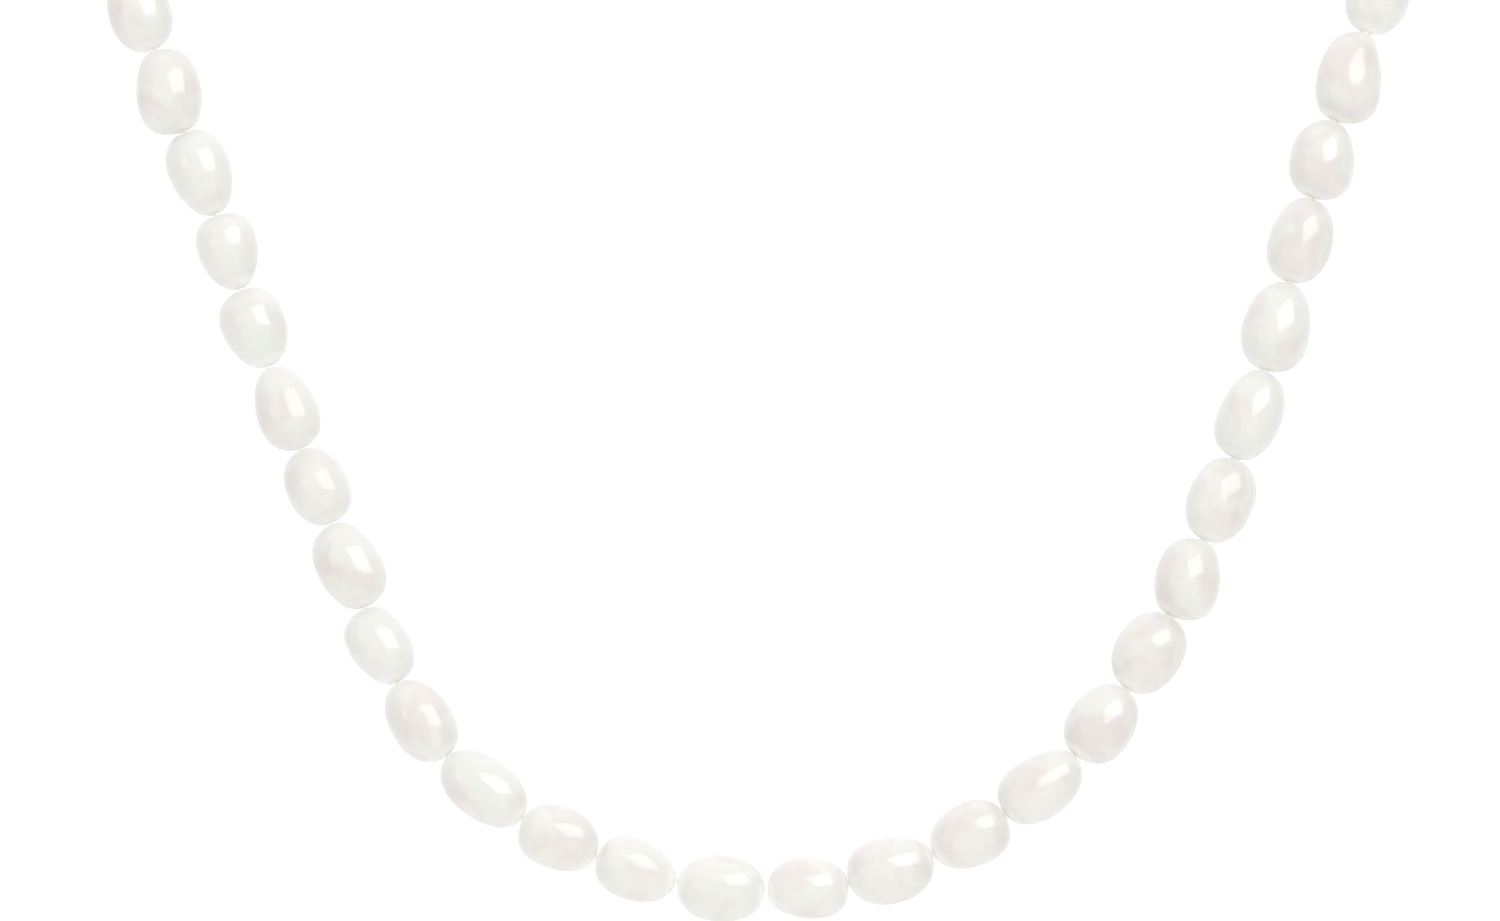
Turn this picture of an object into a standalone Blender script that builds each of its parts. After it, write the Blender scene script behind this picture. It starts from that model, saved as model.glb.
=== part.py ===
# Freshwater pearl necklace, worn shape: one loop of oval pearls on a silk thread.
# Metres, +Z up, +X to the right as seen from the front, +Y towards the back of the neck.
# The origin is at the nape, on the clasp's inner side. Left and right are as seen from the front.

import itertools
import math

import bmesh
import bpy
from mathutils import Matrix, Vector

# Pearls and thread
PEARL_LENGTH = 0.0076  # along the drill hole, of a middling pearl
PEARL_GIRTH = 0.0060  # across it, from flat to flat
PEARL_SIDES = 12
END_BLUNTNESS = 2.2  # 2 is an ellipse, more is blunter
THREAD = 0.0005
MEETING_GAP = 0.0003  # between the two strings, at the front

# Clasp, at the nape
CLASP_LENGTH = 0.0080
CLASP_GIRTH = 0.0044
EYE_RADIUS = 0.0011  # to the middle of the wire
EYE_WIRE = 0.0007
LOOP_RADIUS = 0.0011
LOOP_WIRE = 0.0006
LINK_CLEARANCE = 0.0003  # where a thread loop bears in a clasp eye
CLASP_PROFILE = [
    # across and along, as shares of half the girth and half the length
    (0.40, 1.00),
    (0.66, 0.88),
    (0.88, 0.62),
    (1.00, 0.25),
]

# Where the string lies, from the left of the clasp round the front to its right.
# The front hangs in a plane that leans back by 20 degrees, and the rest goes round the neck.
ROUTE = [
    (-0.0230, -0.0010, 0.0005),
    (-0.0425, -0.0105, 0.0015),
    (-0.0555, -0.0245, 0.0025),
    (-0.0600, -0.0420, 0.0035),
    (-0.0610, -0.0530, 0.0010),
    (-0.0605, -0.0630, -0.0045),
    (-0.0592, -0.0708, -0.0125),
    (-0.0563, -0.0767, -0.0235),
    (-0.0506, -0.0816, -0.0370),
    (-0.0459, -0.0864, -0.0500),
    (-0.0373, -0.0938, -0.0703),
    (-0.0316, -0.0984, -0.0831),
    (-0.0255, -0.1008, -0.0894),
    (-0.0190, -0.1022, -0.0935),
    (-0.0120, -0.1033, -0.0963),
    (0.0000, -0.1040, -0.0983),
    (0.0110, -0.1034, -0.0964),
    (0.0180, -0.1023, -0.0935),
    (0.0245, -0.1008, -0.0894),
    (0.0301, -0.0988, -0.0839),
    (0.0380, -0.0942, -0.0711),
    (0.0459, -0.0864, -0.0500),
    (0.0498, -0.0815, -0.0360),
    (0.0551, -0.0761, -0.0215),
    (0.0585, -0.0700, -0.0115),
    (0.0605, -0.0625, -0.0040),
    (0.0610, -0.0530, 0.0010),
    (0.0600, -0.0420, 0.0035),
    (0.0555, -0.0245, 0.0025),
    (0.0425, -0.0105, 0.0015),
    (0.0230, -0.0010, 0.0005),
]

# Each pearl from the front upwards, as shares of PEARL_LENGTH and PEARL_GIRTH, and how
# much fatter its upper end is than its lower one. Past the last row they start again.
LEFT_PEARLS = [
    # length, girth, swell
    (1.03, 1.00, 0.00),
    (0.97, 0.95, 0.14),
    (0.96, 0.97, 0.06),
    (1.14, 0.94, 0.00),
    (1.04, 0.97, -0.07),
    (0.95, 0.92, 0.05),
    (1.06, 0.98, -0.04),
    (0.94, 0.95, -0.04),
    (1.03, 0.93, -0.14),
    (0.97, 0.98, 0.13),
    (0.92, 0.92, 0.22),
    (1.05, 0.94, 0.16),
    (1.03, 1.01, -0.08),
    (0.98, 0.95, 0.00),
]
RIGHT_PEARLS = [
    # length, girth, swell
    (0.95, 0.93, 0.05),
    (1.03, 1.02, -0.06),
    (0.96, 0.99, 0.08),
    (1.07, 0.95, -0.10),
    (0.98, 1.01, -0.07),
    (1.00, 1.04, 0.02),
    (0.97, 1.03, -0.08),
    (1.03, 1.00, 0.01),
    (1.10, 0.99, -0.07),
    (1.08, 1.03, -0.12),
    (1.03, 0.97, -0.08),
    (0.95, 1.00, -0.12),
    (1.11, 1.01, -0.17),
    (0.90, 0.96, 0.00),
]
# Where a pearl has its rings of corners, from one end (-1) to the other (1)
RINGS = (-1.0, -0.9, -0.62, -0.22, 0.22, 0.62, 0.9, 1.0)
ROUTE_STEPS = 24  # between two points of the route

clasp_centre = Vector((0.0, CLASP_GIRTH / 2, 0.0))
eye_out = CLASP_LENGTH / 2 + EYE_RADIUS
link_pitch = EYE_RADIUS + LOOP_RADIUS - (EYE_WIRE + LOOP_WIRE) / 2 - LINK_CLEARANCE
loop_out = eye_out + link_pitch
string_end = loop_out + LOOP_RADIUS
least_showing = THREAD / 5  # of thread, between neighbouring pearls
corner_share = 1 / math.cos(math.pi / PEARL_SIDES)  # corner to corner over flat to flat


def spline_point(corners, marks, at):
    """A point of the smooth curve through the middle two of four corners."""
    first = [
        corners[i].lerp(corners[i + 1], (at - marks[i]) / (marks[i + 1] - marks[i]))
        for i in range(3)
    ]
    second = [
        first[i].lerp(first[i + 1], (at - marks[i]) / (marks[i + 2] - marks[i]))
        for i in range(2)
    ]
    return second[0].lerp(second[1], (at - marks[1]) / (marks[2] - marks[1]))


def smooth_route(corners):
    """Points along a smooth curve from the second corner to the last but one."""
    points = []
    for i in range(1, len(corners) - 2):
        four = corners[i - 1 : i + 3]
        marks = [0.0]
        for a, b in zip(four, four[1:]):
            marks.append(marks[-1] + math.sqrt((b - a).length))
        for step in range(ROUTE_STEPS):
            at = marks[1] + (marks[2] - marks[1]) * step / ROUTE_STEPS
            points.append(spline_point(four, marks, at))
    points.append(corners[-2])
    return points


def lengths_along(points):
    """How far along the curve each of its points is."""
    far = [0.0]
    for a, b in zip(points, points[1:]):
        far.append(far[-1] + (b - a).length)
    return far


def place(points, far, at):
    """The point at a distance along the curve."""
    i = 1
    while i < len(far) - 1 and far[i] < at:
        i += 1
    share = (at - far[i - 1]) / (far[i] - far[i - 1])
    return points[i - 1].lerp(points[i], share)


def pearl_radius(u, girth, swell):
    """Half the pearl's width at u, which runs from -1 at one end to 1 at the other."""
    round_off = (1 - abs(u) ** END_BLUNTNESS) ** (1 / END_BLUNTNESS)
    return max(THREAD / 2, girth / 2 * round_off * (1 + swell * u))


def string_profile(path, rows):
    """Points and radii of one string, from the front to its loop at the nape.

    It holds as many pearls as fit, and they share the thread that is left evenly."""
    far = lengths_along(path)
    room = far[-1] - LOOP_WIRE / 2 - MEETING_GAP / 2
    pearls = []
    taken = 0.0
    for share, girth, swell in itertools.cycle(rows):
        length = share * PEARL_LENGTH
        if taken + length + (len(pearls) + 1) * least_showing > room:
            break
        pearls.append((length, girth, swell))
        taken += length
    showing = (room - taken) / len(pearls)
    profile = []
    start = MEETING_GAP / 2
    for length, girth, swell in pearls:
        near = place(path, far, start)
        away = place(path, far, start + length)
        middle = (near + away) / 2
        along = (away - near).normalized()
        for u in RINGS:
            point = middle + along * (u * length / 2)
            across = girth * PEARL_GIRTH * corner_share
            profile.append((point, pearl_radius(u, across, swell)))
        start += length + showing
    profile.append((path[-1], THREAD / 2))
    return profile


def material(name, colour, roughness, metallic):
    made = bpy.data.materials.new(name)
    made.use_nodes = True
    shader = made.node_tree.nodes["Principled BSDF"]
    shader.inputs["Base Color"].default_value = (*colour, 1.0)
    shader.inputs["Roughness"].default_value = roughness
    shader.inputs["Metallic"].default_value = metallic
    made.diffuse_color = (*colour, 1.0)
    return made


def add(name, mesh, collection, location=(0.0, 0.0, 0.0)):
    made = bpy.data.objects.new(name, mesh)
    made.location = location
    collection.objects.link(made)
    return made


def joined_on(target, helper):
    """Keeps the helper as one body with the target, and out of sight."""
    helper.hide_render = True
    helper.display_type = "WIRE"
    union = target.modifiers.new("with_" + helper.name, "BOOLEAN")
    union.operation = "UNION"
    union.solver = "EXACT"
    union.object = helper


def ring(name, radius, wire, location, upright):
    """A closed wire ring lying flat, or standing along X."""
    bpy.ops.mesh.primitive_torus_add(
        major_radius=radius,
        minor_radius=wire / 2,
        major_segments=16,
        minor_segments=6,
        location=location,
        rotation=(math.pi / 2 if upright else 0.0, 0.0, 0.0),
    )
    made = bpy.context.object
    made.name = name
    made.data.name = name
    made.data.shade_smooth()
    for collection in list(made.users_collection):
        collection.objects.unlink(made)
    helpers.objects.link(made)
    return made


def make_string(name, path, rows, side, look):
    """Pearls and thread as one body, with the thread's loop at its end."""
    front = path[0]
    profile = string_profile(path, rows)
    curve = bpy.data.curves.new(name + "_line", "CURVE")
    curve.dimensions = "3D"
    curve.bevel_depth = THREAD / 2
    curve.bevel_resolution = (PEARL_SIDES - 4) // 2
    curve.use_fill_caps = True
    spline = curve.splines.new("POLY")
    spline.points.add(len(profile) - 1)
    for corner, (point, radius) in zip(spline.points, profile):
        corner.co = (*(point - front), 1.0)
        corner.radius = radius / curve.bevel_depth
    line = add(name + "_line", curve, helpers, front)
    bpy.context.view_layer.update()
    seen = line.evaluated_get(bpy.context.evaluated_depsgraph_get())
    mesh = bpy.data.meshes.new_from_object(seen)
    mesh.name = name
    work = bmesh.new()
    work.from_mesh(mesh)
    bmesh.ops.remove_doubles(work, verts=work.verts, dist=0.00001)
    bmesh.ops.recalc_face_normals(work, faces=work.faces)
    work.to_mesh(mesh)
    work.free()
    mesh.shade_smooth()
    mesh.materials.clear()
    mesh.materials.append(look)
    made = add(name, mesh, parts)
    made.matrix_world = line.matrix_world
    bpy.data.objects.remove(line)
    loop_at = clasp_centre + Vector((side * loop_out, 0.0, 0.0))
    joined_on(made, ring(name + "_loop", LOOP_RADIUS, LOOP_WIRE, loop_at, True))
    made.parent = nape
    return made


def make_clasp(look):
    """A plain turned barrel, with a ring at each end for the thread loops."""
    half = [(0.0, 1.0)] + CLASP_PROFILE
    outline = half + [(across, -along) for across, along in reversed(half)]
    mesh = bpy.data.meshes.new("clasp")
    work = bmesh.new()
    corners = [
        work.verts.new((across * CLASP_GIRTH / 2, 0.0, along * CLASP_LENGTH / 2))
        for across, along in outline
    ]
    for a, b in zip(corners, corners[1:]):
        work.edges.new((a, b))
    work.to_mesh(mesh)
    work.free()
    mesh.materials.append(look)
    barrel = add("clasp", mesh, parts)
    barrel.matrix_world = Matrix.Translation(clasp_centre) @ Matrix.Rotation(
        math.pi / 2, 4, "Y"
    )
    turned = barrel.modifiers.new("turned", "SCREW")
    turned.axis = "Z"
    turned.steps = 16
    turned.render_steps = 16
    turned.use_merge_vertices = True
    turned.merge_threshold = 0.00001
    turned.use_smooth_shade = True
    for side, name in ((-1, "clasp_eye_left"), (1, "clasp_eye_right")):
        eye_at = clasp_centre + Vector((side * eye_out, 0.0, 0.0))
        joined_on(barrel, ring(name, EYE_RADIUS, EYE_WIRE, eye_at, False))
    barrel.parent = nape
    return barrel


for old in list(bpy.data.objects):
    bpy.data.objects.remove(old)

parts = bpy.data.collections.new("pearl_necklace")
helpers = bpy.data.collections.new("helpers")
for collection in (parts, helpers):
    bpy.context.scene.collection.children.link(collection)

pearl = material("pearl", (0.86, 0.82, 0.77), 0.25, 0.0)
metal = material("clasp_metal", (0.83, 0.82, 0.80), 0.25, 1.0)

nape = bpy.data.objects.new("nape", None)
nape.empty_display_size = CLASP_LENGTH
parts.objects.link(nape)

left_end = clasp_centre - Vector((string_end, 0.0, 0.0))
right_end = clasp_centre + Vector((string_end, 0.0, 0.0))
corners = [clasp_centre, left_end]
corners += [Vector(point) for point in ROUTE]
corners += [right_end, clasp_centre]
whole = smooth_route(corners)
lowest = min(range(len(ROUTE)), key=lambda i: ROUTE[i][2])
front_at = (lowest + 1) * ROUTE_STEPS

make_string("pearl_string_left", whole[front_at::-1], LEFT_PEARLS, -1, pearl)
make_string("pearl_string_right", whole[front_at:], RIGHT_PEARLS, 1, pearl)
make_clasp(metal)
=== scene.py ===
# Freshwater pearl necklace in its worn shape: the finish of every surface.
# Metres, +Z up, +X to the right as seen from the front, +Y towards the back of the neck.

import itertools
import math
import random

import bmesh
import bpy
from mathutils import Matrix, Vector, noise


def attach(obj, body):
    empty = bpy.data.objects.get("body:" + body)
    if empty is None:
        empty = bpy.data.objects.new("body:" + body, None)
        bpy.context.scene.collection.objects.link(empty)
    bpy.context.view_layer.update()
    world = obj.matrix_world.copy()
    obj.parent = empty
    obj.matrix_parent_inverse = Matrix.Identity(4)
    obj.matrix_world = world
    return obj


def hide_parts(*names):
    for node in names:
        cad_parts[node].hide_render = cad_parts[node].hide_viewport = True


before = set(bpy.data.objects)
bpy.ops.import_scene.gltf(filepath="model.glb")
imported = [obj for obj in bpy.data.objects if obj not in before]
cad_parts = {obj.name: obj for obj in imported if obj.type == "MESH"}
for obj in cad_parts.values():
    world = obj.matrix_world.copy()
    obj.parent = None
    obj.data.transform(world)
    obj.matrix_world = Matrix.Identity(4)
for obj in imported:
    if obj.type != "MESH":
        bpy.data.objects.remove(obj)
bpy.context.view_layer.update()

# Sizes, as in the model's own source
PEARL_LENGTH = 0.0076
PEARL_GIRTH = 0.0060
END_BLUNTNESS = 2.2
THREAD = 0.0005
MEETING_GAP = 0.0003
CLASP_LENGTH = 0.0080
CLASP_GIRTH = 0.0044
EYE_RADIUS = 0.0011
EYE_WIRE = 0.0007
LOOP_RADIUS = 0.0011
LOOP_WIRE = 0.0006
LINK_CLEARANCE = 0.0003
CLASP_PROFILE = [(0.40, 1.00), (0.66, 0.88), (0.88, 0.62), (1.00, 0.25)]
ROUTE_STEPS = 24

# A pearl's finish: heights, depths and the bevel are shares of its own thickness
PEARL_SIDES = 72
PEARL_RINGS = 44
LUMP_UNIT = 0.003  # metres in one unit of the noise
LUMPS = [
    # fineness, shift, height
    (0.55, 1.0, 0.022),
    (1.3, 1.7, 0.014),
    (2.9, 2.3, 0.005),
]
DENTS = 5
DENT_DEPTH = 0.014
GROOVES = 2
GROOVE_WIDTH = 0.05  # of half the length
PULLED_IN = 0.014  # keeps the lumps inside the solid
DRILL_HOLE = THREAD * 1.12
MOUTH_BEVEL = 0.08
MOUTH_DEPTH = 0.00004  # metres
PAINTED_LIGHT_REACH = 0.62  # how far out, as a share of the radius, the painted light at the ends reaches
PAINTED_LIGHT_FADE = 0.35

# The gimp: fine wire round the thread's end loops and up to the last pearls
GIMP_WIRE = LOOP_WIRE * 0.20
GIMP_COIL = LOOP_WIRE * 0.40
GIMP_TURNS = 52
GIMP_STEPS = 12  # in one turn
LOOP_CORE = LOOP_WIRE * 0.62
SLEEVE_SHARE = 0.7  # of the bare thread between the last pearl and the loop

BARREL_SIDES = 64
FLANK_STEPS = 6  # between two corners of the barrel's outline
SEAM_FLOOR = 0.95  # of the barrel's radius

# Colours
NACRE = [
    # from the greenest patches to the pinkest ones
    (0.24, (0.722, 0.756, 0.712)),
    (0.38, (0.746, 0.761, 0.723)),
    (0.50, (0.765, 0.755, 0.724)),
    (0.62, (0.726, 0.701, 0.678)),
    (0.78, (0.712, 0.668, 0.660)),
]
# painted light: the pale cream that the pearls' ends are painted in, lifting the shade where
# neighbouring pearls meet
NACRE_END_PAINTED_LIGHT = (0.97, 0.95, 0.91, 1.0)
SILK = (0.93, 0.90, 0.83, 1.0), (0.99, 0.98, 0.93, 1.0)
SILVER = (0.58, 0.565, 0.53, 1.0), (0.80, 0.795, 0.785, 1.0)
# painted glow: the cream light that the silk thread gives off, though it is no lamp
SILK_PAINTED_GLOW = (1.0, 0.97, 0.90, 1.0)
FLOOR_COLOUR = (0.93, 0.93, 0.925, 1.0)
WHITE = (1.0, 1.0, 1.0, 1.0)

# The floor, the studio and the camera
FLOOR_HEIGHT = -0.17
FLOOR_SIZE = 12.0
PALEST_WAY = Vector((0.05, 0.35, 0.90)).normalized()  # up and behind
LIT_AT = Vector((0.0, -0.09, -0.06))  # the middle of the drape
LOOK_AT = Vector((-0.00143, -0.0907, -0.0614))
CAMERA_HEIGHT = math.radians(10)  # above level
CAMERA_DISTANCE = 1.4
PHOTO_WIDTH = 1500  # pixels
PIXELS_PER_METRE = 11170.0
SENSOR = 36.0

FRONT = Vector((0, 1, 0))  # the way that someone in front of the necklace looks
UP = Vector((0, 0, 1))

# The string's route, as in the model's own source
ROUTE = [
    (-0.0230, -0.0010, 0.0005),
    (-0.0425, -0.0105, 0.0015),
    (-0.0555, -0.0245, 0.0025),
    (-0.0600, -0.0420, 0.0035),
    (-0.0610, -0.0530, 0.0010),
    (-0.0605, -0.0630, -0.0045),
    (-0.0592, -0.0708, -0.0125),
    (-0.0563, -0.0767, -0.0235),
    (-0.0506, -0.0816, -0.0370),
    (-0.0459, -0.0864, -0.0500),
    (-0.0373, -0.0938, -0.0703),
    (-0.0316, -0.0984, -0.0831),
    (-0.0255, -0.1008, -0.0894),
    (-0.0190, -0.1022, -0.0935),
    (-0.0120, -0.1033, -0.0963),
    (0.0000, -0.1040, -0.0983),
    (0.0110, -0.1034, -0.0964),
    (0.0180, -0.1023, -0.0935),
    (0.0245, -0.1008, -0.0894),
    (0.0301, -0.0988, -0.0839),
    (0.0380, -0.0942, -0.0711),
    (0.0459, -0.0864, -0.0500),
    (0.0498, -0.0815, -0.0360),
    (0.0551, -0.0761, -0.0215),
    (0.0585, -0.0700, -0.0115),
    (0.0605, -0.0625, -0.0040),
    (0.0610, -0.0530, 0.0010),
    (0.0600, -0.0420, 0.0035),
    (0.0555, -0.0245, 0.0025),
    (0.0425, -0.0105, 0.0015),
    (0.0230, -0.0010, 0.0005),
]

# Each pearl from the front upwards: its length and girth as shares, how much fatter its
# upper end is, its tint, from -1 for green to 1 for pink, and how many degrees it leans
# clockwise, as seen from the front.
LEFT_PEARLS = [
    # length, girth, swell, tint, lean
    (1.03, 1.00, 0.00, -0.2, -2),
    (0.97, 0.95, 0.14, 0.3, 4),
    (0.96, 0.97, 0.06, 0.1, -4),
    (1.14, 0.94, 0.00, 0.0, -2),
    (1.04, 0.97, -0.07, 0.3, 0),
    (0.95, 0.92, 0.05, -0.6, -9),
    (1.06, 0.98, -0.04, 0.4, -6),
    (0.94, 0.95, -0.04, -0.3, -3),
    (1.03, 0.93, -0.14, 0.3, 1),
    (0.97, 0.98, 0.13, -0.1, -1),
    (0.92, 0.92, 0.22, 0.3, 2),
    (1.05, 0.94, 0.16, -0.6, 0),
    (1.03, 1.01, -0.08, 0.4, 10),
    (0.98, 0.95, 0.00, 0.3, 0),
]
RIGHT_PEARLS = [
    # length, girth, swell, tint, lean
    (0.95, 0.93, 0.05, 0.2, 7),
    (1.03, 1.02, -0.06, 0.4, 4),
    (0.96, 0.99, 0.08, 0.5, 3),
    (1.07, 0.95, -0.10, 0.6, 5),
    (0.98, 1.01, -0.07, 0.9, -2),
    (1.00, 1.04, 0.02, 0.7, 0),
    (0.97, 1.03, -0.08, 0.3, -9),
    (1.03, 1.00, 0.01, 0.7, 1),
    (1.10, 0.99, -0.07, -0.1, 4),
    (1.08, 1.03, -0.12, -0.2, -3),
    (1.03, 0.97, -0.08, 0.8, 2),
    (0.95, 1.00, -0.12, 0.1, -5),
    (1.11, 1.01, -0.17, 0.7, -8),
    (0.90, 0.96, 0.00, 0.1, 0),
]

clasp_centre = Vector((0.0, CLASP_GIRTH / 2, 0.0))
eye_out = CLASP_LENGTH / 2 + EYE_RADIUS
link_pitch = EYE_RADIUS + LOOP_RADIUS - (EYE_WIRE + LOOP_WIRE) / 2 - LINK_CLEARANCE
loop_out = eye_out + link_pitch
string_end = loop_out + LOOP_RADIUS


# The string's route, worked out as in the model


def spline_point(corners, marks, at):
    first = [
        corners[i].lerp(corners[i + 1], (at - marks[i]) / (marks[i + 1] - marks[i]))
        for i in range(3)
    ]
    second = [
        first[i].lerp(first[i + 1], (at - marks[i]) / (marks[i + 2] - marks[i]))
        for i in range(2)
    ]
    return second[0].lerp(second[1], (at - marks[1]) / (marks[2] - marks[1]))


def smooth_route(corners, steps=ROUTE_STEPS):
    points = []
    for i in range(1, len(corners) - 2):
        four = corners[i - 1 : i + 3]
        marks = [0.0]
        for a, b in zip(four, four[1:]):
            marks.append(marks[-1] + math.sqrt((b - a).length))
        for step in range(steps):
            at = marks[1] + (marks[2] - marks[1]) * step / steps
            points.append(spline_point(four, marks, at))
    points.append(corners[-2])
    return points


def lengths_along(points):
    far = [0.0]
    for a, b in zip(points, points[1:]):
        far.append(far[-1] + (b - a).length)
    return far


def place(points, far, at):
    i = 1
    while i < len(far) - 1 and far[i] < at:
        i += 1
    share = (at - far[i - 1]) / (far[i] - far[i - 1])
    return points[i - 1].lerp(points[i], share)


def strung(path, rows):
    """The middle, direction and row of each pearl, from the front upwards."""
    far = lengths_along(path)
    room = far[-1] - LOOP_WIRE / 2 - MEETING_GAP / 2
    held = []
    taken = 0.0
    for row in itertools.cycle(rows):
        length = row[0] * PEARL_LENGTH
        if taken + length + (len(held) + 1) * THREAD / 5 > room:
            break
        held.append(row)
        taken += length
    showing = (room - taken) / len(held)
    start = MEETING_GAP / 2
    placed = []
    for row in held:
        length = row[0] * PEARL_LENGTH
        near = place(path, far, start)
        away = place(path, far, start + length)
        placed.append(((near + away) / 2, (away - near).normalized(), row))
        start += length + showing
    return placed


# Materials


def feed(tree, node, inputs):
    """Sets a node's inputs, each to a constant or to another node's output."""
    for name, value in inputs.items():
        if isinstance(value, bpy.types.NodeSocket):
            tree.links.new(value, node.inputs[name])
        else:
            node.inputs[name].default_value = value


def added(tree, kind, inputs, **settings):
    """A new node with its settings and inputs."""
    made = tree.nodes.new("ShaderNode" + kind)
    for name, value in settings.items():
        setattr(made, name, value)
    feed(tree, made, inputs)
    return made


def ranged(tree, value, before, after, shape="LINEAR"):
    """The value carried over from one range to another."""
    ends = {"From Min": before[0], "From Max": before[1], "To Min": after[0], "To Max": after[1]}
    made = added(tree, "MapRange", {"Value": value, **ends}, interpolation_type=shape)
    return made.outputs["Result"]


def product(tree, first, second):
    return added(tree, "Math", {0: first, 1: second}, operation="MULTIPLY").outputs[0]


def mixed(tree, factor, first, second):
    inputs = {"A": first, "B": second, "Factor": factor}
    return added(tree, "Mix", inputs, data_type="RGBA").outputs["Result"]


def bumped(tree, height, strength, distance):
    inputs = {"Height": height, "Strength": strength, "Distance": distance}
    return added(tree, "Bump", inputs).outputs["Normal"]


def noise_over(tree, scale, detail, stretch=(1.0, 1.0, 1.0)):
    """Noise over a piece, in its own coordinates, stretched along its axes."""
    where = added(tree, "TexCoord", {}).outputs["Object"]
    stretched = added(tree, "VectorMath", {0: where, 1: stretch}, operation="MULTIPLY")
    inputs = {"Vector": stretched.outputs[0], "Scale": scale, "Detail": detail}
    return added(tree, "TexNoise", inputs).outputs["Fac"]


def shader_of(name):
    made = bpy.data.materials.new(name)
    made.use_nodes = True
    tree = made.node_tree
    return made, tree, tree.nodes["Principled BSDF"]


def nacre_colour(tree, tint, apart):
    """Cream with patches of green and pink, whose share the pearl's tint sets."""
    patches = added(
        tree,
        "TexNoise",
        {"Vector": apart, "Scale": 300.0, "Detail": 1.5, "Roughness": 0.45, "Distortion": 0.7},
    )
    inputs = {0: tint, 1: 0.13, 2: patches.outputs["Fac"]}
    tinted = added(tree, "Math", inputs, operation="MULTIPLY_ADD")
    colours = added(tree, "ValToRGB", {"Fac": tinted.outputs[0]})
    colours.color_ramp.interpolation = "B_SPLINE"
    stops = colours.color_ramp.elements
    stops[0].position = NACRE[0][0]
    stops[1].position = NACRE[-1][0]
    for at, _ in NACRE[1:-1]:
        stops.new(at)
    for stop, (_, colour) in zip(stops, NACRE):
        stop.color = (*colour, 1.0)
    return colours.outputs["Color"]


def nacre():
    """A pale body that lets light in, under a clear, bright and slightly rippled gloss."""
    made, tree, shader = shader_of("nacre")
    own = added(tree, "Attribute", {}, attribute_name="own").outputs["Vector"]
    end = added(tree, "Attribute", {}, attribute_name="end").outputs["Fac"]
    where = added(tree, "TexCoord", {}).outputs["Object"]
    apart = added(tree, "VectorMath", {0: where, 1: own}, operation="ADD").outputs[0]
    tint = added(tree, "SeparateXYZ", {0: own}).outputs["X"]

    # the gloss fades towards the drill hole and at a glancing angle
    facing = added(tree, "LayerWeight", {}).outputs["Facing"]
    away_from_hole = ranged(tree, end, (0.0, 1.0), (1.0, 0.0))
    toward_viewer = ranged(tree, facing, (0.40, 0.85), (1.0, 0.15), "SMOOTHSTEP")
    ripples = added(
        tree, "TexNoise", {"Vector": apart, "Scale": 900.0, "Detail": 3.0, "Roughness": 0.5}
    )
    dimples = added(
        tree, "TexNoise", {"Vector": apart, "Scale": 420.0, "Detail": 1.0, "Distortion": 0.4}
    )
    feed(
        tree,
        shader,
        {
            # painted light: towards the drill holes the colour turns pale cream, lifting the shade
            # between neighbouring pearls
            "Base Color": mixed(tree, end, nacre_colour(tree, tint, apart), NACRE_END_PAINTED_LIGHT),
            "Normal": bumped(tree, ripples.outputs["Fac"], 0.5, 0.00003),
            "Roughness": 0.40,
            "IOR": 1.50,
            "Specular IOR Level": 0.07,
            "Subsurface Weight": 1.0,
            "Subsurface Radius": (1.0, 0.9, 0.8),
            "Subsurface Scale": 0.006,
            "Coat Weight": product(tree, away_from_hole, toward_viewer),
            "Coat Normal": bumped(tree, dimples.outputs["Fac"], 0.6, 0.00003),
            "Coat Roughness": 0.08,
            "Coat IOR": 1.85,
        },
    )
    return made


def silk():
    """Cream silk thread with fine fibres, and a faint painted glow in place of the light that the
    pearls let through.
    """
    made, tree, shader = shader_of("silk_thread")
    fibres = noise_over(tree, 7000.0, 2.0)
    feed(
        tree,
        shader,
        {
            "Base Color": mixed(tree, fibres, *SILK),
            "Normal": bumped(tree, fibres, 0.5, 0.00003),
            # painted glow: the thread gives off a faint cream light, though it is no lamp, to lift
            # the shade between the pearls
            "Emission Color": SILK_PAINTED_GLOW,
            "Emission Strength": 0.24,
            "Roughness": 0.9,
            "Specular IOR Level": 0.1,
        },
    )
    return made


def silver(name, roughness):
    """Polished silver: a faint bloom of tarnish, and fine turning marks round the axis."""
    made, tree, shader = shader_of(name)
    bloom = noise_over(tree, 650.0, 3.0)
    marks = noise_over(tree, 500.0, 2.0, stretch=(1.0, 1.0, 30.0))
    feed(
        tree,
        shader,
        {
            "Base Color": mixed(tree, bloom, *SILVER),
            "Normal": bumped(tree, marks, 0.25, 0.000008),
            "Roughness": ranged(tree, bloom, (0.3, 0.7), (roughness * 1.5, roughness * 0.6)),
            "Metallic": 1.0,
        },
    )
    return made


# Shapes


def linked(name, data, material=None):
    """A new object in the scene, made of the given data."""
    made = bpy.data.objects.new(name, data)
    bpy.context.scene.collection.objects.link(made)
    if material:
        data.materials.append(material)
    return made


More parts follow.
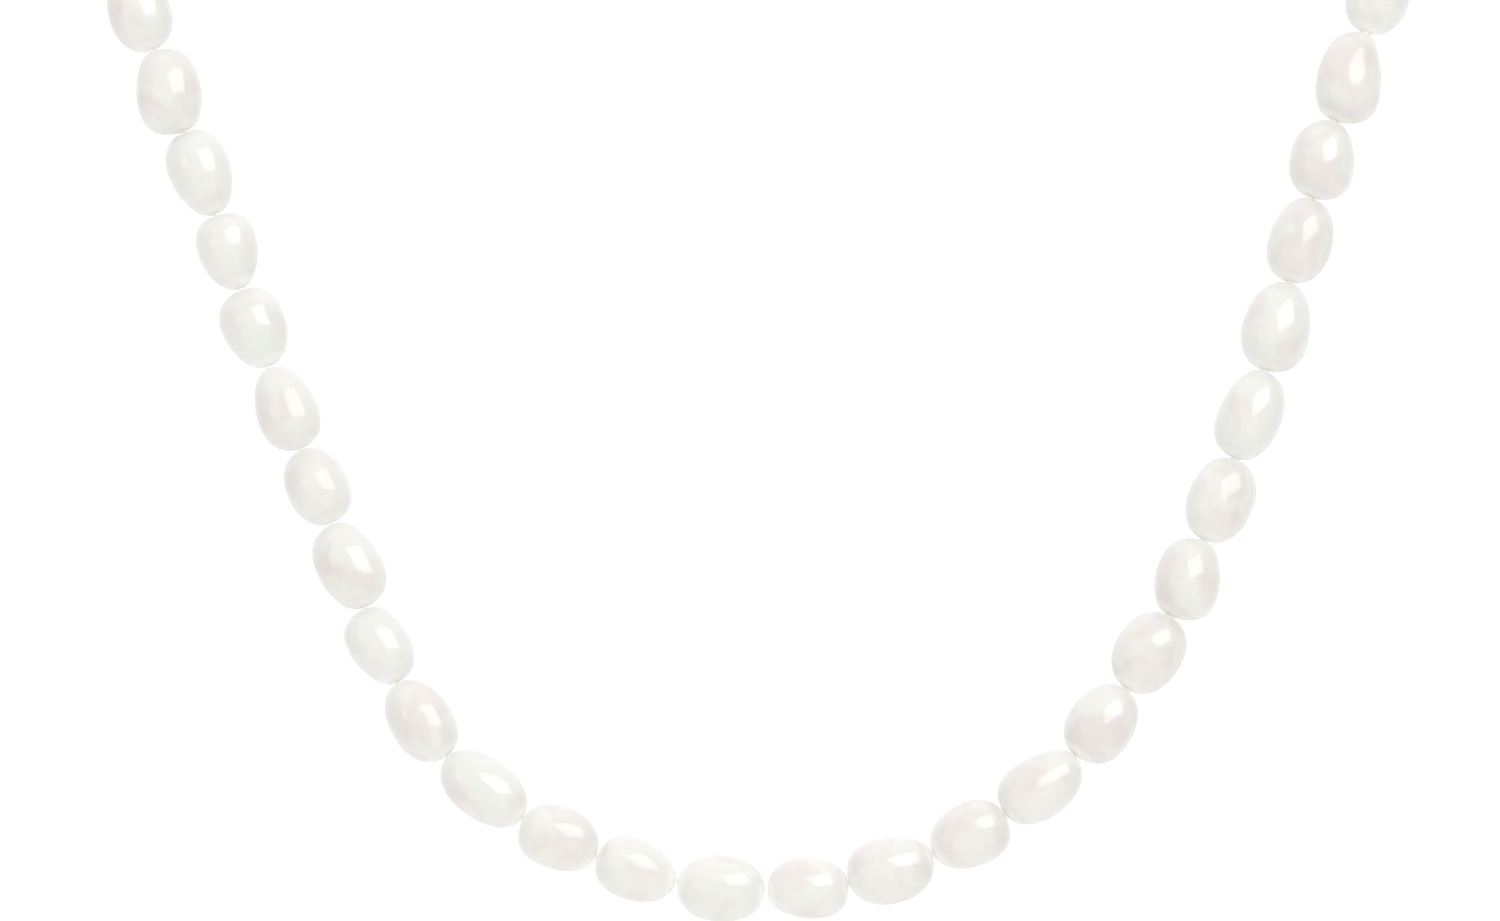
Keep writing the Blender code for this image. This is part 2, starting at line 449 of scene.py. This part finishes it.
def pearl_surface(length, girth, swell, lean, chance):
    """An oval's surface along Z, a little lumpy, by the angles from its lower tip and round it."""
    shift = Vector([chance.uniform(-40, 40) for _ in range(3)])
    flat = chance.uniform(0.0, 0.04)
    flat_turn = chance.uniform(0, math.pi)
    bow = chance.uniform(0.0, 0.02) * girth
    bow_turn = chance.uniform(0, 2 * math.pi)
    rough = chance.uniform(0.6, 1.2)
    groove = max(0.0, chance.uniform(-0.006, 0.006))
    groove_places = [chance.uniform(-0.6, 0.6) for _ in range(GROOVES)]
    dents = []
    for _ in range(DENTS):
        turn = chance.uniform(0, 2 * math.pi)
        at = Vector((math.cos(turn), math.sin(turn), chance.uniform(-0.9, 0.9)))
        dents.append((at.normalized(), chance.uniform(0.35, 0.6), chance.uniform(0.3, 1.0)))
    slant = math.tan(math.radians(lean)) * length / 2

    def surface(angle, around):
        up, out = -math.cos(angle), math.sin(angle)
        u = math.copysign(abs(up) ** (2 / END_BLUNTNESS), up)
        wide = out ** (2 / END_BLUNTNESS)
        r = wide * girth / 2 * (1 + swell * u)
        r *= 1 - flat * math.sin(around - flat_turn) ** 2
        spot = Vector((r * math.cos(around), r * math.sin(around), u * length / 2))
        seen = spot / LUMP_UNIT
        lump = 0.0
        for fineness, share, height in LUMPS:
            lump += noise.noise(seen * fineness + shift * share) * height
        for at in groove_places:
            lump -= groove * math.exp(-(((u - at) / GROOVE_WIDTH) ** 2))
        way = Vector((math.cos(around) * out, math.sin(around) * out, up))
        for at, reach, depth in dents:
            near = max(0.0, 1 - (way - at).length_squared / reach**2)
            lump -= DENT_DEPTH * depth * near * near
        fade = min(1.0, wide * 1.6)
        bulge = 1 + (lump * rough - PULLED_IN) * fade
        side = bow * (0.6 - u * u) * fade
        spot.x = spot.x * bulge + side * math.cos(bow_turn) - slant * u * (1 - u**4)
        spot.y = spot.y * bulge + side * math.sin(bow_turn)
        return spot

    return surface


def hole_mouth(edge, inward):
    """The bevelled mouth of a drill hole, which the thread fills."""
    return [p + Vector((-p.x * MOUTH_BEVEL, -p.y * MOUTH_BEVEL, inward)) for p in edge]


def end_painted_light(spot, length, girth):
    """The share of painted light at a pearl's ends, also the share by which its gloss fades: 1 at
    the drill hole, fading to 0 on the shoulder.
    """
    if abs(spot.z) <= length / 4:
        return 0.0
    out = math.hypot(spot.x, spot.y) / (girth / 2)
    return min(1.0, max(0.0, (PAINTED_LIGHT_REACH - out) / PAINTED_LIGHT_FADE))


def pearl_mesh(name, length, girth, swell, tint, lean, chance, placed):
    """A pearl in its place, with its tint and the share of painted light at its ends as
    attributes.
    """
    surface = pearl_surface(length, girth, swell, lean, chance)
    first = math.asin((DRILL_HOLE / girth) ** (END_BLUNTNESS / 2))
    rounds = []
    for ring in range(PEARL_RINGS + 1):
        angle = first + (math.pi - 2 * first) * ring / PEARL_RINGS
        rounds.append(
            [surface(angle, 2 * math.pi * i / PEARL_SIDES) for i in range(PEARL_SIDES)]
        )
    lower = hole_mouth(rounds[0], MOUTH_DEPTH)
    upper = hole_mouth(rounds[-1], -MOUTH_DEPTH)
    mesh = bpy.data.meshes.new(name)
    work = bmesh.new()
    rings = [[work.verts.new(p) for p in points] for points in [lower, *rounds, upper]]
    for below, above in zip(rings, rings[1:]):
        for i in range(PEARL_SIDES):
            j = (i + 1) % PEARL_SIDES
            work.faces.new((below[i], below[j], above[j], above[i]))
    for end in (rings[0], rings[-1]):
        work.faces.new(end)
    bmesh.ops.recalc_face_normals(work, faces=work.faces)
    work.to_mesh(mesh)
    work.free()
    own = mesh.attributes.new("own", "FLOAT_VECTOR", "POINT")
    values = [tint, chance.uniform(-5, 5), chance.uniform(-5, 5)] * len(mesh.vertices)
    own.data.foreach_set("vector", values)
    end = mesh.attributes.new("end", "FLOAT", "POINT")
    end.data.foreach_set("value", [end_painted_light(v.co, length, girth) for v in mesh.vertices])
    mesh.transform(placed)
    mesh.shade_smooth()
    return mesh


def laid(middle, along):
    """Where a pearl lies: its Z along the string, and the same side of it to the front."""
    seen = FRONT if abs(along.dot(FRONT)) < 0.8 else UP
    across = along.cross(seen).normalized()
    turn = Matrix((across, along.cross(across), along)).transposed().to_4x4()
    return Matrix.Translation(middle) @ turn


def tube(name, points, radius, material, sides=8, closed=False):
    """A round wire through the points."""
    curve = bpy.data.curves.new(name, "CURVE")
    curve.dimensions = "3D"
    curve.bevel_depth = radius
    curve.bevel_resolution = (sides - 4) // 2
    curve.use_fill_caps = not closed
    spline = curve.splines.new("POLY")
    spline.points.add(len(points) - 1)
    for corner, point in zip(spline.points, points):
        corner.co = (*point, 1.0)
    spline.use_cyclic_u = closed
    return linked(name, curve, material)


def coil_points(centre):
    """The gimp, wound closely round a standing loop."""
    points = []
    for step in range(GIMP_TURNS * GIMP_STEPS):
        along = 2 * math.pi * step / (GIMP_TURNS * GIMP_STEPS)
        around = 2 * math.pi * step / GIMP_STEPS
        out = LOOP_RADIUS + GIMP_COIL * math.cos(around)
        side = GIMP_COIL * math.sin(around)
        points.append(centre + Vector((out * math.cos(along), side, out * math.sin(along))))
    return points


def sleeve_points(start, end):
    """The gimp, wound closely along a straight stretch."""
    along = end - start
    out = along.orthogonal().normalized()
    up = along.normalized().cross(out)
    count = math.ceil(along.length / GIMP_WIRE) * GIMP_STEPS
    points = []
    for step in range(count + 1):
        around = 2 * math.pi * step / GIMP_STEPS
        turned = out * math.cos(around) + up * math.sin(around)
        points.append(start + along * step / count + turned * GIMP_COIL)
    return points


def ring_piece(name, radius, wire, material, centre, upright):
    bpy.ops.mesh.primitive_torus_add(
        major_radius=radius,
        minor_radius=wire / 2,
        major_segments=48,
        minor_segments=16,
        location=centre,
        rotation=(math.pi / 2 if upright else 0.0, 0.0, 0.0),
    )
    made = bpy.context.object
    made.name = name
    made.data.materials.append(material)
    made.data.shade_smooth()
    return made


def barrel_piece(name, material):
    """The clasp's turned body, with a fine seam round its middle."""
    # the first and the last corner only steer the curve between the others
    flank = [Vector((CLASP_PROFILE[0][0] * 0.8, 1.0))]
    flank += [Vector(pair) for pair in CLASP_PROFILE]
    flank += [Vector((1.0, 0.04)), Vector((1.0, -0.15))]
    half = [Vector((0.0, 1.0)), flank[0]]
    half += [Vector((min(1.0, p.x), p.y)) for p in smooth_route(flank, FLANK_STEPS)]
    half += [Vector((SEAM_FLOOR, 0.02)), Vector((SEAM_FLOOR, 0.0))]
    outline = half + [Vector((p.x, -p.y)) for p in reversed(half[:-1])]
    mesh = bpy.data.meshes.new(name)
    work = bmesh.new()
    corners = [
        work.verts.new((p.x * CLASP_GIRTH / 2, 0.0, p.y * CLASP_LENGTH / 2)) for p in outline
    ]
    for a, b in zip(corners, corners[1:]):
        work.edges.new((a, b))
    work.to_mesh(mesh)
    work.free()
    made = linked(name, mesh, material)
    on_its_side = Matrix.Rotation(math.pi / 2, 4, "Y")
    made.matrix_world = Matrix.Translation(clasp_centre) @ on_its_side
    turned = made.modifiers.new("turned", "SCREW")
    turned.steps = turned.render_steps = BARREL_SIDES
    turned.use_merge_vertices = True
    turned.merge_threshold = 0.00001
    turned.use_smooth_shade = True
    return made


# The necklace

nacre_look = nacre()
silk_look = silk()
silver_look = silver("silver", 0.2)
gimp_look = silver("gimp_wire", 0.3)

corners = [clasp_centre, clasp_centre - Vector((string_end, 0.0, 0.0))]
corners += [Vector(point) for point in ROUTE]
corners += [clasp_centre + Vector((string_end, 0.0, 0.0)), clasp_centre]
whole = smooth_route(corners)
lowest = min(range(len(ROUTE)), key=lambda i: ROUTE[i][2])
front_at = (lowest + 1) * ROUTE_STEPS

chance = random.Random(7)
for side, path, rows in (
    ("left", whole[front_at::-1], LEFT_PEARLS),
    ("right", whole[front_at:], RIGHT_PEARLS),
):
    node = "pearl_string_" + side
    line = [path[0]]
    for number, (middle, along, row) in enumerate(strung(path, rows), 1):
        share, girth, swell, tint, lean = row
        name = f"pearl_{side}_{number:02d}"
        length = share * PEARL_LENGTH
        mesh = pearl_mesh(
            name, length, girth * PEARL_GIRTH, swell, tint, lean, chance, laid(middle, along)
        )
        pearl = linked(name, mesh, nacre_look)
        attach(pearl, "root")
        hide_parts(node)
        half = along * length / 2
        line += [middle - half, middle + half]
    line.append(path[-1])
    thread = tube("thread_" + side, line, THREAD / 2, silk_look)
    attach(thread, "root")
    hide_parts(node)
    sign = -1 if side == "left" else 1
    loop_at = clasp_centre + Vector((sign * loop_out, 0.0, 0.0))
    core = ring_piece(
        "thread_loop_" + side, LOOP_RADIUS, LOOP_CORE, silk_look, loop_at, upright=True
    )
    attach(core, "root")
    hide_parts(node)
    gimp = tube(
        "gimp_" + side, coil_points(loop_at), GIMP_WIRE / 2, gimp_look, sides=6, closed=True
    )
    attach(gimp, "root")
    sleeve = tube(
        "gimp_sleeve_" + side,
        sleeve_points(line[-2], line[-2].lerp(line[-1], SLEEVE_SHARE)),
        GIMP_WIRE / 2,
        gimp_look,
        sides=6,
    )
    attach(sleeve, "root")
    eye_at = clasp_centre + Vector((sign * eye_out, 0.0, 0.0))
    eye = ring_piece(
        "clasp_eye_" + side, EYE_RADIUS, EYE_WIRE, silver_look, eye_at, upright=False
    )
    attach(eye, "root")
    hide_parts("clasp")

barrel = barrel_piece("clasp_barrel", silver_look)
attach(barrel, "root")
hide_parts("clasp")


# Floor, light and camera


def surround():
    """The studio: pale all round, a little darker in front below and at the two sides."""
    world = bpy.data.worlds.new("studio")
    world.use_nodes = True
    tree = world.node_tree
    way = added(tree, "TexCoord", {}).outputs["Generated"]
    facing = added(tree, "VectorMath", {0: way, 1: PALEST_WAY}, operation="DOT_PRODUCT")
    across = added(tree, "SeparateXYZ", {0: way}).outputs["X"]
    aside = added(tree, "Math", {0: across}, operation="ABSOLUTE").outputs[0]
    height = ranged(tree, facing.outputs["Value"], (-0.9, 0.6), (0.975, 1.11))
    flags = ranged(tree, aside, (0.60, 0.92), (1.0, 0.65), "SMOOTHSTEP")
    inputs = {"Color": WHITE, "Strength": product(tree, height, flags)}
    feed(tree, tree.nodes["Background"], inputs)
    return world


def softbox(name, at, width, height, brightness, gloss_only=False):
    light = bpy.data.lights.new(name, "AREA")
    light.shape = "RECTANGLE"
    light.size = width
    light.size_y = height
    light.energy = brightness * math.pi * width * height
    made = linked(name, light)
    made.location = at
    made.rotation_euler = (LIT_AT - Vector(at)).to_track_quat("-Z", "Y").to_euler()
    made.visible_camera = False
    made.visible_diffuse = not gloss_only
    return made


bpy.ops.mesh.primitive_plane_add(size=FLOOR_SIZE, location=(0.0, 0.0, FLOOR_HEIGHT))
floor = bpy.context.object
floor.name = "floor"
pale, tree, shader = shader_of("pale_floor")
feed(
    tree,
    shader,
    {
        "Base Color": FLOOR_COLOUR,
        "Roughness": 0.9,
        "Specular IOR Level": 0.1,
        "Emission Color": WHITE,
        "Emission Strength": 0.1,  # makes up for what the floor lacks to pure white
    },
)
floor.data.materials.append(pale)
# The floor is only looked at: the pearls are lit from below by the studio
floor.visible_diffuse = False
floor.visible_glossy = False
floor.visible_shadow = False

bpy.context.scene.world = surround()
softbox("key", (0.75, -0.95, 0.95), 1.45, 1.05, 0.30)
# The glint lies a little nearer than the key, because lights in one place hide each other
softbox("glint", (0.72, -0.91, 0.91), 1.4, 1.0, 1.15, gloss_only=True)
softbox("fill", (-1.2, -0.9, 0.25), 0.4, 0.5, 0.7, gloss_only=True)

view = Vector((0.0, math.cos(CAMERA_HEIGHT), -math.sin(CAMERA_HEIGHT)))
lens = bpy.data.cameras.new("camera")
lens.sensor_width = SENSOR
lens.lens = SENSOR * CAMERA_DISTANCE / (PHOTO_WIDTH / PIXELS_PER_METRE)
lens.clip_start = 0.05
lens.clip_end = 60.0
camera = linked("camera", lens)
camera.location = LOOK_AT - view * CAMERA_DISTANCE
camera.rotation_euler = view.to_track_quat("-Z", "Y").to_euler()
bpy.context.scene.camera = camera

bpy.context.scene.view_settings.view_transform = "Standard"
bpy.context.scene.view_settings.look = "None"
